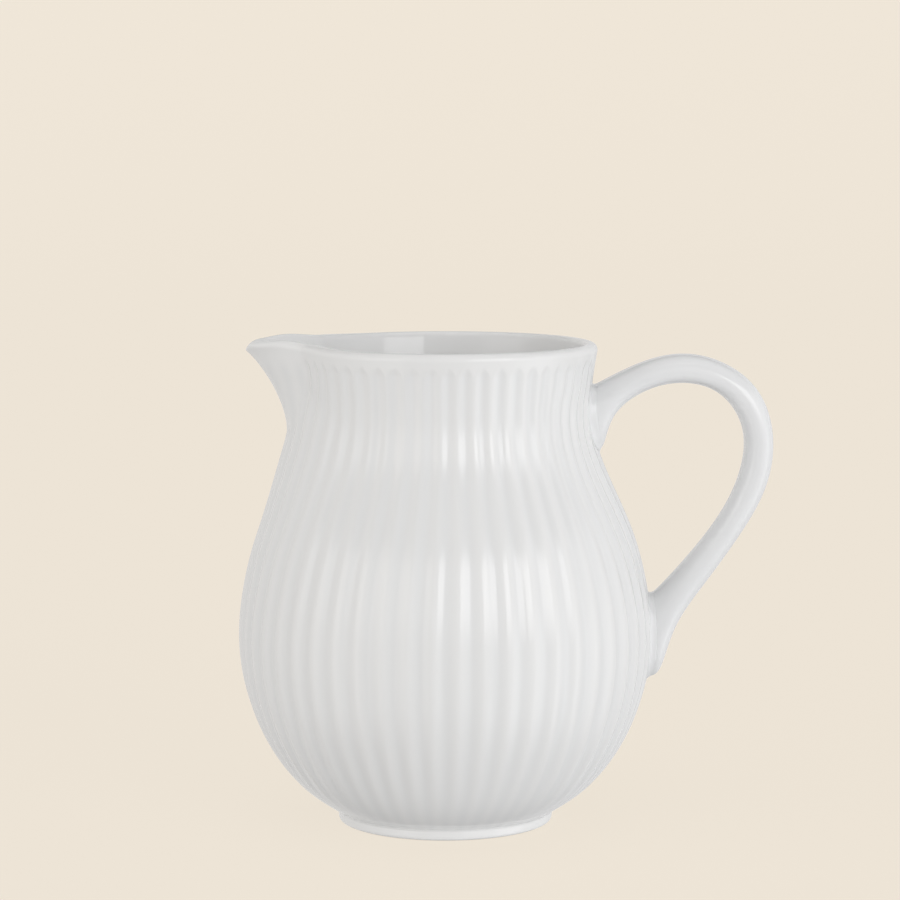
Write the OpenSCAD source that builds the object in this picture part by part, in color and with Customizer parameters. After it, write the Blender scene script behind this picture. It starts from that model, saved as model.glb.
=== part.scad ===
// Porcelain cream jug: a round-bellied pot with a pulled spout, a turned foot ring and a
// strap handle that is joined on with slip. Millimetres, +Z up. The origin is the centre of
// the foot ring on the table, the spout points along -X and the handle is at +X.

/* [Body] */
// Height of the rim above the table
rim_h = 105; // [102:0.5:108]
// Outer radius of the rim
rim_r = 33; // [31:0.25:35]
// Outer radius of the neck where it is narrowest
neck_r = 32; // [31:0.25:33]
// Height of that narrowest place
neck_z = 91; // [89:0.5:93]
// Outer radius of the belly where it is widest
belly_r = 45; // [43:0.25:46]
// Height of that widest place
belly_z = 41; // [38:0.5:43]
// Thickness of the wall
wall = 3; // [2.25:0.25:3.5]
// Thickness of the floor
floor_t = 4.5; // [3:0.5:7]

/* [Foot] */
// Outer radius of the foot ring
foot_r = 23.5; // [21:0.25:25]
// Height of the foot ring
foot_h = 2.5; // [1.5:0.25:3.5]
// Width of the ring that stands on the table
foot_w = 5; // [3:0.25:7]

/* [Spout] */
// How far the pouring lip reaches past the round of the rim
spout_reach = 10.6; // [8:0.2:12]
// How far the throat below it is pulled out
throat_swell = 1.8; // [0.6:0.2:2.4]
// Height where the throat begins
throat_z = 66; // [62:0.5:72]
// Half of the spout's width at the rim
spout_w = 13; // [11:0.5:14]
// How far the sides of the lip rise above the rim
lip_rise = 1.3; // [0:0.1:2]

/* [Handle] */
// Distance from the jug's axis to the outside of the handle
handle_reach = 71.25; // [69:0.25:74]
// Height of the top of the handle
handle_top = 102.5; // [100:0.5:104]
// Half of the strap's width
strap_w = 4.8; // [4:0.1:6]
// Thickness of the slip between the handle and the pot
slip_t = 0.5; // [0.3:0.1:0.8]

/* [Hidden] */

glaze = [0.93, 0.93, 0.92];
biscuit = [0.89, 0.87, 0.83];
slip = [0.90, 0.90, 0.89];

profile_steps = 5;
lip_steps = 8;
spout_stations = 24;
rail_steps = 4;
around = 28;
fillet_w = 0.9;
notch_depth = 45;
foot_edge = 0.8;

// ---- curves ----

// One point of a uniform cubic B-spline, where t runs from 0 to 1 within span i
function spline_at(q, i, t) =
    (pow(1 - t, 3) * q[i]
    + (3 * pow(t, 3) - 6 * t * t + 4) * q[i + 1]
    + (-3 * pow(t, 3) + 3 * t * t + 3 * t + 1) * q[i + 2]
    + pow(t, 3) * q[i + 3]) / 6;

// The whole spline, from its first control point to its last
function spline(p, steps) =
    let (last = len(p) - 1)
    let (q = concat([2 * p[0] - p[1]], p, [2 * p[last] - p[last - 1]]))
    concat([for (i = [0:last - 1]) for (s = [0:steps - 1]) spline_at(q, i, s / steps)],
           [p[last]]);

// A curve moved to its left by d
function inset(c, d) =
    [for (i = [0:len(c) - 1])
        let (a = c[max(i - 1, 0)], b = c[min(i + 1, len(c) - 1)], t = (b - a) / norm(b - a))
        c[i] + d * [-t.y, t.x]];

function smooth(t) = let (u = min(max(t, 0), 1)) u * u * (3 - 2 * u);
function swapped(c) = [for (p = c) [p.y, p.x]];
function reversed(c) = [for (i = [len(c) - 1:-1:0]) c[i]];

// ---- the pot's wall, as [radius, height] ----

outline = spline([
    [foot_r, foot_h],
    [foot_r + 8.25, foot_h + 5],
    [belly_r - 6.5, belly_z - 25],
    [belly_r - 1.25, belly_z - 13.5],
    [belly_r + 1.1, belly_z + 1.5],
    [belly_r - 2.5, belly_z + 20],
    [neck_r + 6.5, neck_z - 21],
    [neck_r - 0.5, neck_z - 6],
    [neck_r - 0.25, neck_z + 5.5],
    [rim_r, rim_h - 0.59 * wall]
], profile_steps);
inline = inset(outline, wall);

function outer_r(z) = lookup(z, swapped(outline));
function inner_r(z) = lookup(z, swapped(inline));

// The rounded lip is a half circle from the outer wall to the inner one
lip_from = outline[len(outline) - 1];
lip_to = inline[len(inline) - 1];
lip_mid = (lip_from + lip_to) / 2;
lip_turn = atan2(lip_from.y - lip_mid.y, lip_from.x - lip_mid.x);
lip = [for (i = [1:lip_steps - 1])
    let (a = lip_turn + 180 * i / lip_steps)
    lip_mid + wall / 2 * [cos(a), sin(a)]];

// The wall: up the outside from one height, over the lip and down the inside to another
function wall_section(from, to) = concat(
    [[outer_r(from), from]],
    [for (p = outline) if (p.y > from + 0.01) p],
    lip,
    [for (p = reversed(inline)) if (p.y > to + 0.01) p],
    [[inner_r(to), to]]);

// The same above one height, with as many points on the inside as on the outside
function paired_section(from) =
    let (first = max(len([for (p = outline) if (p.y <= from + 0.01) 1]),
                     len([for (p = inline) if (p.y <= from + 0.01) 1])))
    let (last = len(outline) - 1)
    concat(
        [[outer_r(from), from]],
        [for (i = [first:last]) outline[i]],
        lip,
        [for (i = [last:-1:first]) inline[i]],
        [[inner_r(from), from]]);

// ---- the spout ----

throat_w = 1;
throat_run = 18;
flare_z = neck_z - 5;
flare_power = 1.3;
keel_power = 1.8;

// Half of the width of the cut-out that the spout fills
function notch_w(z) = throat_w + (spout_w - throat_w) * (z - throat_z) / (rim_h - throat_z);

// How far the middle of the spout stands out from the round wall
function swell(z) =
    throat_swell * smooth((z - throat_z) / throat_run)
    + (spout_reach - throat_swell) * pow(max(0, z - flare_z) / (rim_h - flare_z), flare_power);

// The spout's shape across: 1 at its rounded keel and 0 at its sides
function keel(s) = 1 - pow(abs(s), keel_power);

// How much of the lip's rise there is across the spout
function rise(s) = lip_rise * sin(180 * pow(abs(s), 1.36));

// A point of the wall, moved out to where the spout has it
function spout_point(p, s) =
    let (y = s * notch_w(p.y))
    [-(sqrt(p.x * p.x - y * y) + swell(p.y) * keel(s)), y,
     p.y + rise(s) * smooth((p.y - neck_z) / (rim_h - neck_z - wall))];

// ---- the handle, as two rails in the XZ plane ----

arch = [handle_reach, handle_top];
tail = [belly_r, belly_z];

outer_rail = spline([
    [neck_r + 1.25, neck_z + 5.25],
    arch + [-32, -3],
    arch + [-23.75, 0.25],
    arch + [-15.25, 0.25],
    arch + [-6.9, -3.3],
    arch + [-1.6, -8.9],
    arch + [0.75, -18.25],
    arch + [-0.75, -29.5],
    tail + [18.75, 21],
    tail + [11.5, 11],
    tail + [5, 2.25],
    tail + [1.75, -8]
], rail_steps);

inner_rail = spline([
    [neck_r + 2.75, neck_z - 7.75],
    [neck_r + 3.75, neck_z - 2.5],
    arch + [-32, -10],
    arch + [-25.5, -6.5],
    arch + [-17.75, -5.75],
    arch + [-10.75, -8.25],
    arch + [-5.75, -15.75],
    arch + [-6.35, -24.5],
    arch + [-9.8, -33],
    tail + [11.25, 21],
    tail + [6.25, 15.2],
    tail + [1.25, 9.75]
], rail_steps);

neck_spread = 1.5;
belly_spread = 1.1;

// The strap widens towards both of its roots
function half_width(t) = strap_w + neck_spread * pow(1 - t, 8) + belly_spread * pow(t, 8);

// A closed loop of the strap where t runs from 0 at the neck to 1 at the belly
function strap_loop(i) =
    let (t = i / (len(outer_rail) - 1), o = outer_rail[i], n = inner_rail[i])
    let (m = (o + n) / 2, h = (o - n) / 2)
    [for (k = [0:around - 1])
        let (a = 360 * k / around)
        [m.x + h.x * cos(a), half_width(t) * sin(a), m.y + h.y * cos(a)]];

// A root is an oval on the pot: [middle height, half height, half width]
upper_root = [neck_z - 2.25, 7, strap_w + neck_spread + 0.2];
lower_root = [belly_z - 0.25, 9, strap_w + belly_spread - 0.1];

// The root's oval, scaled by f, on a surface that stands g off the pot
function root_loop(root, f, g) =
    [for (k = [0:around - 1])
        let (a = 360 * k / around)
        let (y = f * root[2] * sin(a), z = root[0] + f * root[1] * cos(a), r = outer_r(z) + g)
        [sqrt(r * r - y * y), y, z]];

// The same oval with its outer side down, as the strap arrives at the belly
function upside_down(root) = [root[0], -root[1], root[2]];

cap = [0.2, 0.4, 0.6, 0.8, 1];

// ---- solids from loops ----

// An end of a skin, as a ladder of triangles between the two halves of its loop of n points
function ladder(n) = [for (i = [0:ceil(n / 2) - 2])
    let (j = n - 1 - i)
    each [[i, i + 1, j], if (i + 1 < j - 1) [i + 1, j - 1, j]]];

// Joins a row of loops of equal length into one closed solid
module skin(loops) {
    n = len(loops[0]);
    rows = len(loops);
    sides = [for (j = [0:rows - 2]) for (i = [0:n - 1])
        let (a = j * n + i, b = j * n + (i + 1) % n)
        each [[a, b, b + n], [a, b + n, a + n]]];
    first = [for (f = ladder(n)) reversed(f)];
    last = [for (f = ladder(n)) [for (i = f) (rows - 1) * n + i]];
    polyhedron([for (l = loops) each l], concat(first, sides, last), convexity = 6);
}

// The wedge that is cut from the wall for the spout
module notch() {
    top = rim_h + 5;
    translate([-(notch_depth + neck_r / 2), 0, 0]) rotate([90, 0, 90])
    linear_extrude(notch_depth)
    polygon([[-notch_w(throat_z), throat_z], [notch_w(throat_z), throat_z],
             [notch_w(top), top], [-notch_w(top), top]]);
}

// ---- the pieces ----

module body() {
    floor_z = foot_h + floor_t;
    color(glaze)
    difference() {
        rotate_extrude($fn = 96)
        polygon(concat([[0, foot_h]], wall_section(foot_h, floor_z), [[0, floor_z]]));
        notch();
    }
}

module spout() {
    section = paired_section(throat_z);
    color(glaze)
    skin([for (j = [0:spout_stations])
        let (s = 1 - 2 * j / spout_stations)
        [for (p = section) spout_point(p, s)]]);
}

module foot_ring() {
    color(biscuit)
    rotate_extrude($fn = 96)
    polygon([
        [foot_r, foot_h],
        [foot_r - 0.2, foot_h / 2],
        [foot_r - foot_edge, 0.2],
        [foot_r - foot_edge - 0.5, 0],
        [foot_r - foot_w + 0.5, 0],
        [foot_r - foot_w, 0.5],
        [foot_r - foot_w - 0.6, foot_h]
    ]);
}

module handle() {
    color(glaze)
    skin(concat(
        [for (f = cap) root_loop(upper_root, f, slip_t)],
        [for (i = [0:len(outer_rail) - 1]) strap_loop(i)],
        [for (f = reversed(cap)) root_loop(upside_down(lower_root), f, slip_t)]));
}

// A pad of slip on the pot, with a low fillet round the root that it holds
module slip_joint(root) {
    fillet = 1 + fillet_w / root[2];
    color(slip)
    skin(concat(
        [for (f = cap) root_loop(root, f, 0)],
        [root_loop(root, fillet, 0)],
        [root_loop(root, (1 + fillet) / 2, slip_t * 0.8)],
        [for (f = reversed(cap)) root_loop(root, f, slip_t)]));
}

module upper_handle_joint() { slip_joint(upper_root); }
module lower_handle_joint() { slip_joint(lower_root); }

body();
spout();
foot_ring();
handle();
upper_handle_joint();
lower_handle_joint();
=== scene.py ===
"""Looks for the porcelain cream jug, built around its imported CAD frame.

Shapes are worked out in millimetres in the frame's own axes: +Z up along the jug's axis,
-X towards the spout and +X towards the handle.
"""

import math

import bmesh
import bpy
import numpy as np
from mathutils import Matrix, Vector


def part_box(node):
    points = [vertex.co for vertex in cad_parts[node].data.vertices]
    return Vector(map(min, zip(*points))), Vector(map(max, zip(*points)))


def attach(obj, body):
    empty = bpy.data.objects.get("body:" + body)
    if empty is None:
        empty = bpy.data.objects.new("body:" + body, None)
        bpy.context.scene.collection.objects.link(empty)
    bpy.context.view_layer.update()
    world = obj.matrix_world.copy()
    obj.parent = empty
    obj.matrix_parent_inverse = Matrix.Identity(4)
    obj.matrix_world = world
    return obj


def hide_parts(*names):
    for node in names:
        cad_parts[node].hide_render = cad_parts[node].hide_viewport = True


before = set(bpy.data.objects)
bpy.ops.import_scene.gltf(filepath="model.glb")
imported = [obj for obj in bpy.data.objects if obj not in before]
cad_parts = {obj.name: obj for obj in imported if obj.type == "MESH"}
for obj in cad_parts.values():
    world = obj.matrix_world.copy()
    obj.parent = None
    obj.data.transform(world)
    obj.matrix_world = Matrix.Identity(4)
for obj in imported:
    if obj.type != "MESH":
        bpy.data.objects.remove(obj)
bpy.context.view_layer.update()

MM = 0.001


def box_mm(node):
    """Lowest and highest corner of a CAD node, in millimetres."""
    low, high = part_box(node)
    return np.array(low) / MM, np.array(high) / MM


# ---- sizes from the frame, in millimetres ----

POT_HIGH = box_mm("body")[1]
RING_HIGH = box_mm("foot_ring")[1]
SPOUT_LOW, SPOUT_HIGH = box_mm("spout")
HANDLE_HIGH = box_mm("handle")[1]

# The curves bulge a little past the corners that they are drawn from
BELLY_BULGE = 0.12
ARCH_BULGE = np.array([0.06, 0.1])

RIM_Z = POT_HIGH[2]
BELLY_R = POT_HIGH[1] - BELLY_BULGE
FOOT_H = RING_HIGH[2]
FOOT_R = RING_HIGH[0]
THROAT_Z = SPOUT_LOW[2]
SPOUT_HALF = SPOUT_HIGH[1]
ARCH = HANDLE_HIGH[[0, 2]] - ARCH_BULGE

# The rest of the pot's own sizes, which no node's box gives
RIM_R = 33.0
NECK_R = 32.0
NECK_Z = 91.0
BELLY_Z = 41.0
WALL = 3.0
LIP_Z = RIM_Z - 0.59 * WALL
FLOOR_Z = FOOT_H + 4.5

# ---- small helpers ----


def ramp(value, start, end):
    """0 on the side of start and 1 on the side of end, with level ends."""
    t = np.clip((value - start) / (end - start), 0.0, 1.0)
    return t * t * (3 - 2 * t)


def circle(count):
    """Angles once round, in radians."""
    return 2 * np.pi * np.arange(count) / count


def b_spline(points, steps):
    """A uniform cubic B-spline from the first control point to the last.
    Each point can be an array of any shape."""
    p = np.asarray(points, float)
    q = np.concatenate([[2 * p[0] - p[1]], p, [2 * p[-1] - p[-2]]])
    out = []
    for i in range(len(p) - 1):
        for s in range(steps):
            t = s / steps
            w = (
                (1 - t) ** 3,
                3 * t**3 - 6 * t**2 + 4,
                -3 * t**3 + 3 * t**2 + 3 * t + 1,
                t**3,
            )
            out.append(sum(w[k] * q[i + k] for k in range(4)) / 6)
    out.append(p[-1])
    return np.array(out)


def bend(a, b, c, t):
    """A quadratic curve from a towards b and on to c."""
    return (1 - t) ** 2 * a + 2 * t * (1 - t) * b + t * t * c


def along(curve, places):
    """Points of a curve at the given distances along it."""
    step = np.r_[0, np.cumsum(np.linalg.norm(np.diff(curve, axis=0), axis=1))]
    return np.stack([np.interp(places, step, curve[:, k]) for k in range(curve.shape[1])], 1)


def length(curve):
    return np.linalg.norm(np.diff(curve, axis=0), axis=1).sum()


def inset(curve, distance):
    """The curve moved to its left."""
    t = np.gradient(curve, axis=0)
    t /= np.linalg.norm(t, axis=1)[:, None]
    return curve + distance * np.stack([-t[:, 1], t[:, 0]], 1)


# ---- the pot's wall, as [radius, height] ----

OUTLINE_STEPS = 30
OUTLINE = b_spline(
    [
        [FOOT_R, FOOT_H],
        [FOOT_R + 8.25, FOOT_H + 5],
        [BELLY_R - 6.5, BELLY_Z - 25],
        [BELLY_R - 1.25, BELLY_Z - 13.5],
        [BELLY_R + 1.1, BELLY_Z + 1.5],
        [BELLY_R - 2.5, BELLY_Z + 20],
        [NECK_R + 6.5, NECK_Z - 21],
        [NECK_R - 0.5, NECK_Z - 6],
        [NECK_R - 0.25, NECK_Z + 5.5],
        [RIM_R, LIP_Z],
    ],
    OUTLINE_STEPS,
)
INLINE = inset(OUTLINE, WALL)


def outer_r(z):
    return np.interp(z, OUTLINE[:, 1], OUTLINE[:, 0])


def inner_r(z):
    return np.interp(z, INLINE[:, 1], INLINE[:, 0])


# The foot's side runs straight up into the pot through a small hollow curve, which the seam
# between the foot ring and the pot crosses
HOLLOW_STEPS = 16
HOLLOW_LOW = np.array([FOOT_R, FOOT_H - 0.55])
HOLLOW_CORNER = np.array([FOOT_R, FOOT_H + 0.15])
HOLLOW_TOP_Z = FOOT_H + 1.0
HOLLOW_HIGH = np.array([outer_r(HOLLOW_TOP_Z), HOLLOW_TOP_Z])
HOLLOW = bend(HOLLOW_LOW, HOLLOW_CORNER, HOLLOW_HIGH, np.linspace(0, 1, HOLLOW_STEPS + 1)[:, None])
SEAM_R = float(np.interp(FOOT_H, HOLLOW[:, 1], HOLLOW[:, 0]))
SEAM_ROOM = 0.02  # the hollow's rows stay this far from the seam
HOLLOW_ROOM = 0.05  # and the side's rows this far above the hollow

# Distances between the wall's rows. They are fine near the rim, where the ribs end.
SIDE_STEP = 1.9
RIM_STEP = 0.4
RIM_BAND = 9.0
INSIDE_STEP = 3.0
LIP_STEPS = 16
CORNER_STEPS = 24

# The base is domed inside the foot ring and flat from there to the seam
DOME_R = 17.5
DOME_RISE = 0.9
DOME_ROWS = np.arange(1, 17, 2.0)
BASE_ROWS = (18.4, 21)

# The inside bends from its wall at one height, past a corner, to the floor at one radius
CORNER_FROM_Z = 17.0
CORNER_R = inner_r(11.0)
FLOOR_R = 17.0
FLOOR_ROWS = (FLOOR_R, 14, 11, 8, 5, 2.5, 1)


def base_rows():
    """The base inside the foot ring: a shallow dome, then flat out to the seam."""
    dome = [[r, FOOT_H + DOME_RISE * (1 - (r / DOME_R) ** 2)] for r in DOME_ROWS]
    flat = [[r, FOOT_H] for r in (*BASE_ROWS, SEAM_R)]
    return np.array(dome + flat)


def side_rows():
    """The outside, from the top of the hollow to the lip."""
    side = OUTLINE[OUTLINE[:, 1] > HOLLOW_TOP_Z + HOLLOW_ROOM]
    reach = length(side)
    fine = reach - RIM_BAND
    return along(side, np.r_[np.arange(0, fine, SIDE_STEP), np.arange(fine, reach, RIM_STEP), reach])


def lip_rows():
    """Half a circle over the lip, from the outside to the inside."""
    centre = (OUTLINE[-1] + INLINE[-1]) / 2
    start = math.atan2(*(OUTLINE[-1] - centre)[::-1])
    turn = start + np.pi * np.arange(1, LIP_STEPS) / LIP_STEPS
    return centre + WALL / 2 * np.stack([np.cos(turn), np.sin(turn)], 1)


def inside_rows():
    """Down the inside, round its corner and over the floor."""
    wall = INLINE[INLINE[:, 1] > CORNER_FROM_Z][::-1]
    t = np.arange(CORNER_STEPS)[:, None] / CORNER_STEPS
    corner = bend(wall[-1], np.array([CORNER_R, FLOOR_Z]), np.array([FLOOR_R, FLOOR_Z]), t)
    line = np.vstack([wall, corner])
    floor = [[r, FLOOR_Z] for r in FLOOR_ROWS]
    return np.vstack([along(line, np.arange(0, length(line), INSIDE_STEP)), floor])


def wall_rows():
    """The wall's section from the middle of the base, up the outside, over the lip and down
    to the middle of the inside. Also says which rows are on the outside."""
    hollow = HOLLOW[HOLLOW[:, 1] > FOOT_H + SEAM_ROOM]
    outer = np.vstack([base_rows(), hollow, side_rows()])
    rows = np.vstack([outer, lip_rows(), inside_rows()])
    return rows, np.arange(len(rows)) < len(outer)


# ---- ribs ----

RIBS = 52
TOP_OF_RIBS = 102.5
RIB_END = 2.4  # the height over which a groove runs out
NECK_GROOVE = 0.36
BELLY_GROOVE = 0.46

# The smooth shield under the spout, which has no ribs and ends below in a round point
SHIELD_HALF = 11.2
SHIELD_SPREAD = 1.2
SHIELD_LOW = 86.5
SHIELD_POINT = 5.0
SHIELD_EDGE = 0.5

# How far the ribs slide round the neck, in degrees
SLIDE_FROM_SPOUT = 2.0
SLIDE_AT_LIP = 2.5
SLIDE_FROM_HANDLE = 6.24
SLIDE_BACK = 0.65  # the share of it that is undone again above the handle's root


def shield(y, z):
    """1 inside the smooth shield and 0 outside it."""
    half = SHIELD_HALF + SHIELD_SPREAD * ramp(z, 92, 100)
    up = np.clip((z - SHIELD_LOW) / SHIELD_POINT, 0, 1)
    half = half * np.sqrt(np.clip(1 - (1 - up) ** 2, 0, None))
    inside = ramp(np.abs(y), half + SHIELD_EDGE, half - SHIELD_EDGE)
    return inside * (z > SHIELD_LOW - SHIELD_EDGE)


def lean(angle, z):
    """How far a rib has slid round the neck, away from the spout and from the handle, in
    radians. Its side is -90 degrees at the spout, 0 on the flank and 90 at the handle."""
    side = np.degrees(np.arcsin(np.clip(np.cos(angle), -1, 1)))
    from_spout = ramp(side, -90, -70) * ramp(side, 20, -10)
    at_lip = ramp(side, -90, -75) * ramp(side, -48, -62)
    from_handle = ramp(side, 22, 77) * ramp(side, 90, 70)
    slide = SLIDE_FROM_SPOUT * ramp(z, 42, 84) * from_spout
    slide += SLIDE_AT_LIP * ramp(z, 93, 99) * at_lip
    slide -= SLIDE_FROM_HANDLE * ramp(z, 45, 87) * (1 - SLIDE_BACK * ramp(z, 90, 98)) * from_handle
    return np.radians(slide) * np.where(np.sin(angle) < 0, 1, -1)


def groove_depth(angle, y, z, front):
    """How far the surface lies below the crests of the ribs."""
    depth = NECK_GROOVE + (BELLY_GROOVE - NECK_GROOVE) * ramp(z, 80, 50)
    depth = depth * ramp(z, 3.5, 19.5)
    wave = (1 + np.cos(RIBS * (angle - lean(angle, z)))) / 2
    wave = np.clip(wave - ramp(z, TOP_OF_RIBS - RIB_END, TOP_OF_RIBS), 0, None)
    return depth * wave * np.where(front, 1 - shield(y, z), 1)


# ---- the spout ----

THROAT_SWELL = 2.1
THROAT_LOW = THROAT_Z - 3
THROAT_HIGH = THROAT_Z + 17
THROAT_TURN = 65.0  # how far the swelling reaches to each side of the front, in degrees
THROAT_CLOSING = 40.0  # and how much less that is up under the flare

FLARE = 8.2
FLARE_Z = 86.0
FLARE_RUN = 17.7
FLARE_POWER = 1.27
CURL = 0.11  # the share of the flare that curls out just at the lip
CURL_POWER = 12
LIP_HALF = 12.9
FLARE_FOOT = 0.66  # the width of the flare's lower end, as a share of the lip's
KEEL_POWER = 1.8
KEEL_SOFT = 0.012

LIP_RISE = 0.5
RIDGE_RISE = 0.62
RIDGE_Y = 9.0
RIDGE_WIDTH = 3.2
DIP = 0.9
DIP_WIDTH = 2.2
CROWN = 0.15  # the whole rim stands this much higher than the CAD wall


def keel(t):
    """The flare's shape across: 1 at its rounded keel, falling steeply to 0 at its sides."""
    k = 1 - np.abs(t) ** KEEL_POWER
    soft = (k + np.sqrt(k * k + KEEL_SOFT)) / 2
    return soft * ramp(np.abs(t), 1.5, 1.05)


def throat(x, y, z):
    """How far the neck swells forward below the flare."""
    turn = np.degrees(np.arctan2(np.abs(y), -x))
    turn = np.clip(turn / (THROAT_TURN - THROAT_CLOSING * ramp(z, 84, 98)), 0, 1)
    return THROAT_SWELL * ramp(z, THROAT_LOW, THROAT_HIGH) * np.cos(np.radians(90 * turn)) ** 2


def flare(y, z):
    """How far the lip is pulled forward."""
    up = np.clip((z - FLARE_Z) / FLARE_RUN, 0, 1)
    half = LIP_HALF * (FLARE_FOOT + (1 - FLARE_FOOT) * ramp(z, FLARE_Z, FLARE_Z + 14))
    return FLARE * ((1 - CURL) * up**FLARE_POWER + CURL * up**CURL_POWER) * keel(y / half)


def lift(y, z):
    """How far the lip rises at the spout, with a ridge on each side of its dip."""
    side = np.abs(y)
    rise = LIP_RISE * ramp(side, 28, 13)
    rise = rise + RIDGE_RISE * np.exp(-(((side - RIDGE_Y) / RIDGE_WIDTH) ** 2))
    rise = rise - DIP * np.exp(-((y / DIP_WIDTH) ** 2))
    return rise * ramp(z, 95, 103)


def pulled(x, y, z):
    """The new x and z of a point of the round pot, once its lip is pulled to a spout."""
    front = x < 0
    forward = np.where(front, x - throat(x, y, z) - flare(y, z), x)
    return forward, z + CROWN * ramp(z, 98, 104) + np.where(front, lift(y, z), 0)


# ---- meshes ----


def mesh_object(name, points, faces):
    """A smooth-shaded object from points in millimetres."""
    mesh = bpy.data.meshes.new(name)
    mesh.from_pydata((np.asarray(points) * MM).tolist(), [], faces)
    mesh.polygons.foreach_set("use_smooth", [True] * len(mesh.polygons))
    mesh.update()
    obj = bpy.data.objects.new(name, mesh)
    bpy.context.scene.collection.objects.link(obj)
    return obj


def ring_faces(rows, columns, flip=False, closed=False):
    """Quads between closed rings of points. Closed joins the last ring to the first as well."""
    faces = []
    for j in range(rows if closed else rows - 1):
        low, high = j * columns, (j + 1) % rows * columns
        for i in range(columns):
            k = (i + 1) % columns
            quad = (low + i, low + k, high + k, high + i)
            faces.append(quad[::-1] if flip else quad)
    return faces


def closed_skin(loops, flip=False):
    """Points and faces of a solid between a first and a last ring, each closed by a middle
    point. Flip turns the faces over, for rings that run the other way round."""
    rows, columns = loops.shape[:2]
    points = np.vstack([loops.reshape(-1, 3), loops[0].mean(0), loops[-1].mean(0)])
    faces = ring_faces(rows, columns, flip)
    low, high = rows * columns, rows * columns + 1
    top = (rows - 1) * columns
    for i in range(columns):
        k = (i + 1) % columns
        ends = [(low, k, i), (high, top + i, top + k)]
        faces += [end[::-1] if flip else end for end in ends]
    return points, faces


def turned(section, columns):
    """The rings of a section of [radius, height] that is turned about the jug's axis."""
    angle = circle(columns)
    r, z = (np.outer(line, np.ones(columns)) for line in np.transpose(section))
    return np.stack([r * np.cos(angle), r * np.sin(angle), z], 2)


# ---- the pot and its spout ----

POT_COLUMNS = RIBS * 12
RIBS_FROM_Z = FOOT_H + 0.5

# The spout's wedge, which is cut from the front of the pot and widens upwards. Each cut takes in
# the faces that are within some room of the wedge.
WEDGE_FOOT = 1.0
WEDGE_FRONT = -10.0
WEDGE_RISE = (SPOUT_HALF - WEDGE_FOOT) / (RIM_Z - THROAT_Z)
SIDE_CUT_ROOM = 4.0
LOW_CUT_ROOM = 1.5
LOW_CUT_TOP = THROAT_Z + 3


def pot_mesh():
    """The whole pot above its foot ring: ribs, rim, pulled spout, inside and base."""
    rows, outside = wall_rows()
    angle = circle(POT_COLUMNS)
    r, z = (np.outer(rows[:, k], np.ones(POT_COLUMNS)) for k in (0, 1))
    a = angle * np.ones_like(r)
    y = r * np.sin(a)
    front = np.cos(a) < 0
    ribbed = outside & (rows[:, 1] > RIBS_FROM_Z)
    r = r - np.where(ribbed[:, None], groove_depth(a, y, z, front), 0)
    x, y = r * np.cos(a), r * np.sin(a)
    x, z = pulled(x, y, z)
    points, faces = closed_skin(np.stack([x, y, z], 2))
    return mesh_object("jug_body", points, faces)


def in_wedge(place, room=0.0):
    """Whether a place in metres is in the spout's wedge, or at most room millimetres off it."""
    x, y, z = place / MM
    half = WEDGE_FOOT + WEDGE_RISE * (z - THROAT_Z)
    return x < WEDGE_FRONT and z > THROAT_Z - room and abs(y) < half + room


def cut_wedge(bm):
    """Cuts the pot's faces along the two sides and the bottom of the wedge."""
    foot = THROAT_Z * MM
    cuts = [((0, side * MM, foot), (0, side, -WEDGE_RISE), SIDE_CUT_ROOM, math.inf) for side in (-1, 1)]
    cuts.append(((0, 0, foot), (0, 0, 1), LOW_CUT_ROOM, LOW_CUT_TOP))
    for place, normal, room, top in cuts:
        faces = [f for f in bm.faces if any(in_wedge(v.co, room) for v in f.verts)]
        faces = [f for f in faces if all(v.co.z < top * MM for v in f.verts)]
        cut = dict.fromkeys(faces)
        for f in faces:
            cut.update(dict.fromkeys([*f.edges, *f.verts]))
        bmesh.ops.bisect_plane(bm, geom=list(cut), dist=1e-7, plane_co=place, plane_no=normal)
    bm.normal_update()


def chain(edges):
    """The vertices of a closed loop of edges, in order."""
    left = dict.fromkeys(edges)
    edge = next(iter(left))
    del left[edge]
    loop = [edge.verts[0], edge.verts[1]]
    while left:
        edge = next(e for e in loop[-1].link_edges if e in left)
        del left[edge]
        loop.append(edge.other_vert(loop[-1]))
    return loop[:-1]


def shares(line):
    """Where each vertex of a line is along it, from 0 to 1."""
    steps = [0.0]
    for v, w in zip(line, line[1:]):
        steps.append(steps[-1] + (w.co - v.co).length)
    return [s / steps[-1] for s in steps]


def close_cut(bm):
    """Joins the outer and the inner edge of a cut through the wall with a strip of faces."""
    loop = chain([e for e in bm.edges if len(e.link_faces) == 1])
    tops = [
        max((i for i, v in enumerate(loop) if side * v.co.y > 0), key=lambda i: loop[i].co.z)
        for side in (-1, 1)
    ]
    first, second = sorted(tops)
    one = loop[first : second + 1]
    two = (loop[second:] + loop[: first + 1])[::-1]
    p, q = shares(one), shares(two)
    i = j = 0
    while i < len(one) - 1 or j < len(two) - 1:
        on_one = j == len(two) - 1 or (i < len(one) - 1 and p[i + 1] <= q[j + 1])
        corners = [one[i], two[j], one[i + 1] if on_one else two[j + 1]]
        if len(set(corners)) == 3:
            bm.faces.new(corners)
        i, j = (i + 1, j) if on_one else (i, j + 1)


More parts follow.
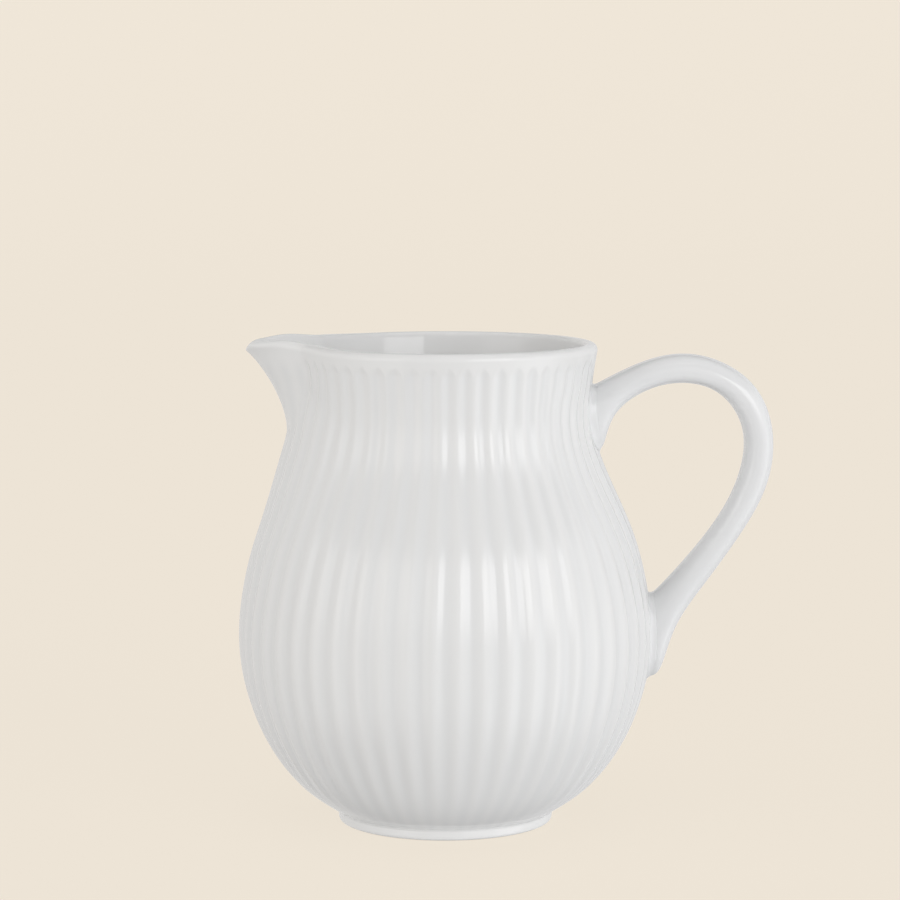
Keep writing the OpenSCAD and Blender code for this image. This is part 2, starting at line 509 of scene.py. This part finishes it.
def kept_part(bm, name, keep):
    """A mesh of the faces to keep, closed along the cut, with the normals of the whole pot."""
    part = bm.copy()
    part.faces.ensure_lookup_table()
    drop = [f for f, kept in zip(part.faces, keep) if not kept]
    bmesh.ops.delete(part, geom=drop, context="FACES")
    normals = {v: v.normal.copy() for v in part.verts}
    close_cut(part)
    bmesh.ops.recalc_face_normals(part, faces=list(part.faces))
    part.verts.index_update()
    table = [normals[v] for v in part.verts]
    mesh = bpy.data.meshes.new(name)
    part.to_mesh(mesh)
    part.free()
    mesh.polygons.foreach_set("use_smooth", [True] * len(mesh.polygons))
    mesh.normals_split_custom_set_from_vertices(table)
    mesh.update()
    return mesh


def split_pot(pot):
    """Cuts the spout's wedge out of the pot. The two pieces keep the normals of the whole, so
    the light runs across the joint."""
    bm = bmesh.new()
    bm.from_mesh(pot.data)
    cut_wedge(bm)
    in_spout = [in_wedge(f.calc_center_median()) for f in bm.faces]
    pot.data = kept_part(bm, "jug_body", [not inside for inside in in_spout])
    spout = bpy.data.objects.new("jug_spout", kept_part(bm, "jug_spout", in_spout))
    bpy.context.scene.collection.objects.link(spout)
    bm.free()
    return pot, spout


# ---- the foot ring, with places given from the bottom of its side ----

FOOT_CORNER = np.array([FOOT_R, 0])
FOOT_EDGE = [[-0.02, 1.4], [-0.08, 0.75], [-0.3, 0.2], [-1.1, 0]]
FOOT_FLAT = [[-2.2, 0], [-3.2, 0]]
FOOT_INSIDE = [[-4.2, 0], [-4.9, 0.3], [-5.1, 1.1], [-5.5, 2.0], [-6.6, FOOT_H]]
FOOT_TOP = [[FOOT_R - 4.5, FOOT_H], [SEAM_R - 1.2, FOOT_H]]
FOOT_COLUMNS = 256


def foot_section():
    """The ring's section, down its outside from the seam, along the bottom and up inside."""
    side = HOLLOW[HOLLOW[:, 1] < FOOT_H - SEAM_ROOM][::-1]
    edge = b_spline(np.vstack([side[-1:], FOOT_CORNER + FOOT_EDGE]), 6)
    inside = b_spline(FOOT_CORNER + FOOT_INSIDE, 4)
    return np.vstack([[[SEAM_R, FOOT_H]], side, edge[1:], FOOT_CORNER + FOOT_FLAT, inside, FOOT_TOP])


def foot_mesh():
    """The turned foot ring, up into the hollow where it meets the pot."""
    loops = turned(foot_section(), FOOT_COLUMNS)
    faces = ring_faces(len(loops), FOOT_COLUMNS, flip=True, closed=True)
    return mesh_object("jug_foot", loops.reshape(-1, 3), faces)


# ---- the handle: a strap between two rails, as [x, z] ----

TAIL = np.array([BELLY_R, BELLY_Z])
NECK = np.array([NECK_R, NECK_Z])

OUTER_RAIL = np.vstack(
    [
        NECK + [[1.25, 5.25]],
        ARCH + [[-32, -3], [-23.75, 0.25], [-15.25, 0.25], [-7.1, -3.42]],
        ARCH + [[-1.82, -9.09], [0.75, -18.25], [-0.75, -29.5]],
        TAIL + [[18.75, 21], [11.5, 11], [4.6, 2.0], [2.3, -8.9]],
    ]
)
INNER_RAIL = np.vstack(
    [
        NECK + [[2.75, -7.75], [3.75, -2.5]],
        ARCH + [[-32, -10], [-25.5, -6.5], [-17.75, -5.75], [-10.75, -8.25]],
        ARCH + [[-5.75, -15.75], [-6.35, -24.5], [-9.8, -33]],
        TAIL + [[11.2, 21], [6.25, 15.2], [1.25, 9.75]],
    ]
)

STRAP_HALF = 4.8
NECK_SPREAD = 1.5  # how much wider the strap is to each side at its upper end
BELLY_SPREAD = 1.1  # and at its lower end
SPREAD_POWER = 8
STRAP_COLUMNS = 72
STRAP_STEPS = 12

# Each root is an oval on the pot: its middle's height, half its height and half its width.
# The lower one runs round the other way, because the strap has turned over by then, so half
# its height is negative.
UPPER_ROOT = (NECK_Z - 2.25, 7.0, STRAP_HALF + 1.7)
LOWER_ROOT = (BELLY_Z - 0.25, -9.0, STRAP_HALF + 1.0)
ROOT_SUNK = -1.2
ROOT_OFF = 0.3

SLIP_SPREAD = 0.55
SLIP_SUNK = -0.9
SLIP_EDGE_OFF = 0.02
SLIP_CORNER = (1.02, 0.05)
SLIP_CORE = 0.9
SLIP_IN_STRAP = 0.175  # how far its upper end goes in, as a share of the way to the middle
SLIP_AT = 18  # the strap's loop where the slip ends, counted from the strap's end
SLIP_STEPS = 9

SQUARENESS = 2.35  # of the strap's section, where 2 is an ellipse


def rounded(value):
    """A sine or cosine, changed for the strap's squarer section."""
    return np.sign(value) * np.abs(value) ** (2 / SQUARENESS)


ACROSS = rounded(np.cos(circle(STRAP_COLUMNS)))
SIDEWAYS = rounded(np.sin(circle(STRAP_COLUMNS)))


def root_loop(root, scale, gap):
    """A root's oval, scaled, standing gap off the pot."""
    middle, half_height, half_width = root
    y = scale * half_width * SIDEWAYS
    z = middle + scale * half_height * ACROSS
    r = outer_r(z) + gap
    return np.stack([np.sqrt(r * r - y * y), y, z], 1)


def strap_loop(outer, inner, half):
    """The strap's section between a point of each rail."""
    middle, spread = (outer + inner) / 2, (outer - inner) / 2
    x, z = (middle[k] + spread[k] * ACROSS for k in (0, 1))
    return np.stack([x, half * SIDEWAYS, z], 1)


def handle_loops():
    """The strap's sections from the neck to the belly, with both ends sunk in the pot."""
    t = np.linspace(0, 1, len(OUTER_RAIL))
    half = STRAP_HALF + NECK_SPREAD * (1 - t) ** SPREAD_POWER + BELLY_SPREAD * t**SPREAD_POWER
    control = [root_loop(UPPER_ROOT, 1, gap) for gap in (ROOT_SUNK, ROOT_OFF)]
    control += [strap_loop(*section) for section in zip(OUTER_RAIL, INNER_RAIL, half)]
    control += [root_loop(LOWER_ROOT, 1, gap) for gap in (ROOT_OFF, ROOT_SUNK)]
    return b_spline(control, STRAP_STEPS)


def handle_mesh(loops):
    """The strap, closed at both ends. Its rings run the other way round to the pot's."""
    points, faces = closed_skin(loops, flip=True)
    return mesh_object("jug_handle", points, faces)


def slip_mesh(name, root, strap_end):
    """The hollow bead of slip between the pot and one end of the strap."""
    wide = 1 + SLIP_SPREAD / root[2]
    outer = root_loop(root, wide, SLIP_EDGE_OFF)
    corner = root_loop(root, *SLIP_CORNER)
    rings = [root_loop(root, wide, SLIP_SUNK)]
    rings += [bend(outer, corner, strap_end, t) for t in np.linspace(0, 1, SLIP_STEPS)]
    rings.append(strap_end + SLIP_IN_STRAP * (strap_end.mean(0) - strap_end))
    rings.append(root_loop(root, SLIP_CORE, SLIP_SUNK))
    points, faces = closed_skin(np.array(rings), flip=root[1] > 0)
    return mesh_object(name, points, faces)


# ---- materials ----

LIGHT_WHITE = (0.80, 0.80, 0.795, 1)
POOL_WHITE = (0.76, 0.765, 0.765, 1)
# The handle and its slip get a slightly cooler white than the pot: a painted cool tint that cancels the
# warm cast of the room's left light on the handle's inner side
HANDLE_WHITE = (0.793, 0.798, 0.803, 1)
HANDLE_POOL = (0.755, 0.763, 0.772, 1)
LIGHT_CLAY = (0.74, 0.71, 0.65, 1)
DARK_CLAY = (0.66, 0.62, 0.55, 1)
CLAY_ROUGHNESS = 0.75
GLAZE_IOR = 1.52
DRIFT_SHARE = 0.5  # how far the drift of colour goes towards the pooled white
VALLEY_SHARE = 0.7  # and how far the bottom of a groove does
POOL_FADE = 2.5 * MM  # pooling sets in over this height below the tops of the ribs
OUTWARD = 300.0  # large, so that only faces that look outwards are tinted


class Nodes:
    """The node tree of a material or a world, with short calls to add and join nodes."""

    def __init__(self, owner, shader):
        self.owner = owner
        owner.use_nodes = True
        self.tree = owner.node_tree
        self.shader = self.tree.nodes[shader]

    def add(self, kind, inputs=None, **settings):
        node = self.tree.nodes.new(kind)
        for key, value in settings.items():
            setattr(node, key, value)
        for key, value in (inputs or {}).items():
            if isinstance(value, bpy.types.NodeSocket):
                self.tree.links.new(value, node.inputs[key])
            else:
                node.inputs[key].default_value = value
        return node

    def math(self, operation, a, b=0.0, clamp=False):
        settings = {"operation": operation, "use_clamp": clamp}
        return self.add("ShaderNodeMath", {0: a, 1: b}, **settings).outputs[0]

    def mix(self, factor, a, b):
        """A colour between a and b."""
        inputs = {"Factor": factor, 6: a, 7: b}
        return self.add("ShaderNodeMix", inputs, data_type="RGBA").outputs[2]

    def spread(self, value, low, high, to_low=0.0, to_high=1.0, **settings):
        """Takes the value's range from low to high to another range."""
        inputs = {"Value": value, "From Min": low, "From Max": high, "To Min": to_low, "To Max": to_high}
        return self.add("ShaderNodeMapRange", inputs, **settings).outputs[0]

    def noise(self, place, scale, detail):
        inputs = {"Vector": place, "Scale": scale, "Detail": detail}
        return self.add("ShaderNodeTexNoise", inputs).outputs[0]

    def place(self, output="Object"):
        return self.add("ShaderNodeTexCoord").outputs[output]

    def split(self, vector):
        return self.add("ShaderNodeSeparateXYZ", {"Vector": vector}).outputs

    def joined(self, name):
        """What is joined to an input of the shader."""
        return self.shader.inputs[name].links[0].from_socket

    def join(self, socket, name):
        self.tree.links.new(socket, self.shader.inputs[name])


def material(name):
    return Nodes(bpy.data.materials.new(name), "Principled BSDF")


def valleys(n, place):
    """How much glaze pools in the grooves, on the outside of the pot only."""
    x, y, z = n.split(place)
    wave = n.math("COSINE", n.math("MULTIPLY", n.math("ARCTAN2", y, x), float(RIBS)))
    valley = n.math("MULTIPLY", n.math("ADD", wave, 1.0), VALLEY_SHARE / 2)
    drop = n.math("SUBTRACT", TOP_OF_RIBS * MM, z)
    below = n.math("MULTIPLY", drop, 1 / POOL_FADE, clamp=True)
    spoke = n.add("ShaderNodeCombineXYZ", {"X": x, "Y": y}).outputs[0]
    facing = {0: n.place("Normal"), 1: spoke}
    out = n.add("ShaderNodeVectorMath", facing, operation="DOT_PRODUCT").outputs["Value"]
    outside = n.math("MULTIPLY", out, OUTWARD, clamp=True)
    return n.math("MULTIPLY", n.math("MULTIPLY", valley, below), outside)


def glaze(name, light, pool, ribbed=False):
    """Glossy glazed porcelain: a faint drift of colour, thin waves in the glaze, and a deeper
    tone where the glaze pools."""
    n = material(name)
    place = n.place()
    pooled = n.math("MULTIPLY", n.noise(place, 28.0, 3.0), DRIFT_SHARE)
    if ribbed:
        pooled = n.math("ADD", pooled, valleys(n, place))
    n.join(n.mix(pooled, light, pool), "Base Color")
    n.join(n.spread(n.noise(place, 90.0, 2.0), 0.3, 0.7, 0.04, 0.08), "Roughness")
    waves = {"Height": n.noise(place, 160.0, 2.0), "Strength": 0.05, "Distance": 0.4 * MM}
    n.join(n.add("ShaderNodeBump", waves).outputs[0], "Normal")
    n.shader.inputs["IOR"].default_value = GLAZE_IOR
    return n


def foot_material():
    """Glazed on its side, with the glaze wiped off where the ring stands."""
    n = glaze("porcelain_foot", LIGHT_WHITE, POOL_WHITE)
    place = n.place()
    height = n.split(place)[2]
    grain = n.noise(place, 900.0, 4.0)
    edge = n.math("ADD", height, n.math("MULTIPLY", grain, 0.25 * MM))
    bare = n.spread(edge, 0.3 * MM, 0.42 * MM, 1.0, 0.0)
    clay = n.mix(grain, LIGHT_CLAY, DARK_CLAY)
    n.join(n.mix(bare, n.joined("Base Color"), clay), "Base Color")
    glazed = n.math("MULTIPLY", n.joined("Roughness"), n.math("SUBTRACT", 1.0, bare))
    n.join(n.math("ADD", glazed, n.math("MULTIPLY", bare, CLAY_ROUGHNESS)), "Roughness")
    return n


# ---- the pieces ----


def place_piece(obj, node, nodes):
    obj.data.materials.append(nodes.owner)
    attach(obj, "root")
    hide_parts(node)


pot_glaze = glaze("porcelain_pot", LIGHT_WHITE, POOL_WHITE, ribbed=True)
handle_glaze = glaze("porcelain_handle", HANDLE_WHITE, HANDLE_POOL)
slip_glaze = glaze("porcelain_slip", HANDLE_WHITE, HANDLE_POOL)

pot, spout = split_pot(pot_mesh())
place_piece(pot, "body", pot_glaze)
place_piece(spout, "spout", pot_glaze)
place_piece(foot_mesh(), "foot_ring", foot_material())

strap = handle_loops()
place_piece(handle_mesh(strap), "handle", handle_glaze)
upper_slip = slip_mesh("upper_slip", UPPER_ROOT, strap[SLIP_AT])
place_piece(upper_slip, "upper_handle_joint", slip_glaze)
lower_slip = slip_mesh("lower_slip", LOWER_ROOT, strap[-1 - SLIP_AT])
place_piece(lower_slip, "lower_handle_joint", slip_glaze)

# ---- floor, light and camera ----

BEIGE = (0.855, 0.783, 0.680, 1)
PAPER_SHADE = 0.15  # the share of the beige that takes shadows
PAPER_GLOW = 0.88  # and the share that glows
PAPER_DROP = 0.05  # millimetres below the foot, so that the two don't touch
STAGE_COLUMNS = 96
STAGE_RADII = (20, 300, 1000, 1600)
STAGE_BEND_R = 1800
STAGE_BEND = 1400
STAGE_TOPS = (3000, 5000)

CAMERA_PLACE = (0.00007, -0.72095, 0.16243)
CAMERA_TILT = 90 - 6.399
CAMERA_TURN = -0.076
CAMERA_LENS = 133.19

# The edges of the room's bands of height, as (degrees, softness)
BANDS = [(-40, 12), (5, 8), (28, 6), (58, 12)]

# Each tall panel from its azimuth to the next one's, with its light level in each band
PANELS = [
    ((-98, 12), (1.0, 0.92, 0.75)),
    ((-72, 4), (1.2, 1.75, 0.42)),
    ((-33, 2), (0.57, 0.95, 0.48)),
    ((18.6, 1.5), (1.05, 3.35, 0.28)),
    ((55, 3), (1.75, 1.35, 0.28)),
    ((92, 12), ()),
]
BACK_LEVELS = (0.72, 0.8, 0.35)  # the same for the rest of the way round, behind the jug
FLOOR_LEVEL = 0.36
TOP_LEVEL = 0.93
LEFT_WHITE = (1.012, 0.995, 0.975, 1)
RIGHT_WHITE = (1.0, 0.998, 1.0, 1)
WHITES_MEET = (-10, 50)


def stage_section():
    """The sheet's section: flat, then a quarter circle up into a wall."""
    turn = np.linspace(0, np.pi / 2, 17)
    flat = [[r, 0] for r in STAGE_RADII]
    curve = [[STAGE_BEND_R + STAGE_BEND * np.sin(t), STAGE_BEND * (1 - np.cos(t))] for t in turn]
    wall = [[STAGE_BEND_R + STAGE_BEND, z] for z in STAGE_TOPS]
    return np.array(flat + curve + wall) - [0, PAPER_DROP]


def paper():
    """Pale beige that mostly glows. It is clear from below, so the jug can be seen from there."""
    n = material("studio_paper")
    inputs = n.shader.inputs
    inputs["Base Color"].default_value = tuple(PAPER_SHADE * c for c in BEIGE[:3]) + (1,)
    inputs["Roughness"].default_value = 1.0
    inputs["Specular IOR Level"].default_value = 0.0
    inputs["Emission Color"].default_value = BEIGE
    inputs["Emission Strength"].default_value = PAPER_GLOW
    below = n.add("ShaderNodeNewGeometry").outputs["Backfacing"]
    clear = n.add("ShaderNodeBsdfTransparent").outputs[0]
    seen = n.add("ShaderNodeMixShader", {0: below, 1: n.shader.outputs[0], 2: clear}).outputs[0]
    n.tree.links.new(seen, n.tree.nodes["Material Output"].inputs["Surface"])
    return n.owner


def stage():
    """A pale round floor that curves up into a wall. The room's light passes through it."""
    loops = turned(stage_section(), STAGE_COLUMNS)
    points = np.vstack([loops.reshape(-1, 3), [0, 0, -PAPER_DROP]])
    faces = ring_faces(len(loops), STAGE_COLUMNS, flip=True)
    faces += [(len(points) - 1, i, (i + 1) % STAGE_COLUMNS) for i in range(STAGE_COLUMNS)]
    sheet = mesh_object("studio_sheet", points, faces)
    sheet.data.materials.append(paper())
    sheet.visible_diffuse = sheet.visible_glossy = sheet.visible_shadow = False


def camera():
    data = bpy.data.cameras.new("camera")
    data.lens, data.sensor_width = CAMERA_LENS, 36.0
    obj = bpy.data.objects.new("camera", data)
    obj.location = CAMERA_PLACE
    obj.rotation_euler = (math.radians(CAMERA_TILT), 0, math.radians(CAMERA_TURN))
    bpy.context.scene.collection.objects.link(obj)
    bpy.context.scene.camera = obj


class Room(Nodes):
    """The pale room round the jug, with tall soft panels of light to its left and right.
    Azimuth 0 is at the camera and 90 at +X, and both angles are in degrees."""

    def __init__(self):
        super().__init__(bpy.data.worlds.new("studio"), "Background")
        x, y, z = self.split(self.place("Generated"))
        self.azimuth = self.math("DEGREES", self.math("ARCTAN2", x, self.math("MULTIPLY", y, -1.0)))
        self.height = self.math("DEGREES", self.math("ARCSINE", z))
        bpy.context.scene.world = self.owner

    def edge(self, value, at, soft):
        """0 below the edge and 1 above it."""
        return self.spread(value, at - soft, at + soft, interpolation_type="SMOOTHSTEP")

    def between(self, value, low, high):
        """1 between two edges, each given as (place, softness)."""
        return self.math("SUBTRACT", self.edge(value, *low), self.edge(value, *high))

    def column(self, across, levels):
        """The masks and levels of a column's bands, from low to high."""
        for low, high, level in zip(BANDS, BANDS[1:], levels):
            yield self.math("MULTIPLY", across, self.between(self.height, low, high)), level

    def parts(self):
        """A mask and a light level for every part of the room."""
        yield self.math("SUBTRACT", 1.0, self.edge(self.height, *BANDS[0])), FLOOR_LEVEL
        yield self.edge(self.height, *BANDS[-1]), TOP_LEVEL
        front = self.between(self.azimuth, PANELS[0][0], PANELS[-1][0])
        yield from self.column(self.math("SUBTRACT", 1.0, front), BACK_LEVELS)
        for (start, levels), (stop, _) in zip(PANELS, PANELS[1:]):
            yield from self.column(self.between(self.azimuth, start, stop), levels)

    def light(self):
        total = 0.0
        for mask, level in self.parts():
            total = self.math("ADD", self.math("MULTIPLY", mask, level), total)
        self.join(total, "Strength")
        self.join(self.mix(self.edge(self.azimuth, *WHITES_MEET), LEFT_WHITE, RIGHT_WHITE), "Color")


bpy.context.scene.view_settings.view_transform = "Standard"
stage()
Room().light()
camera()
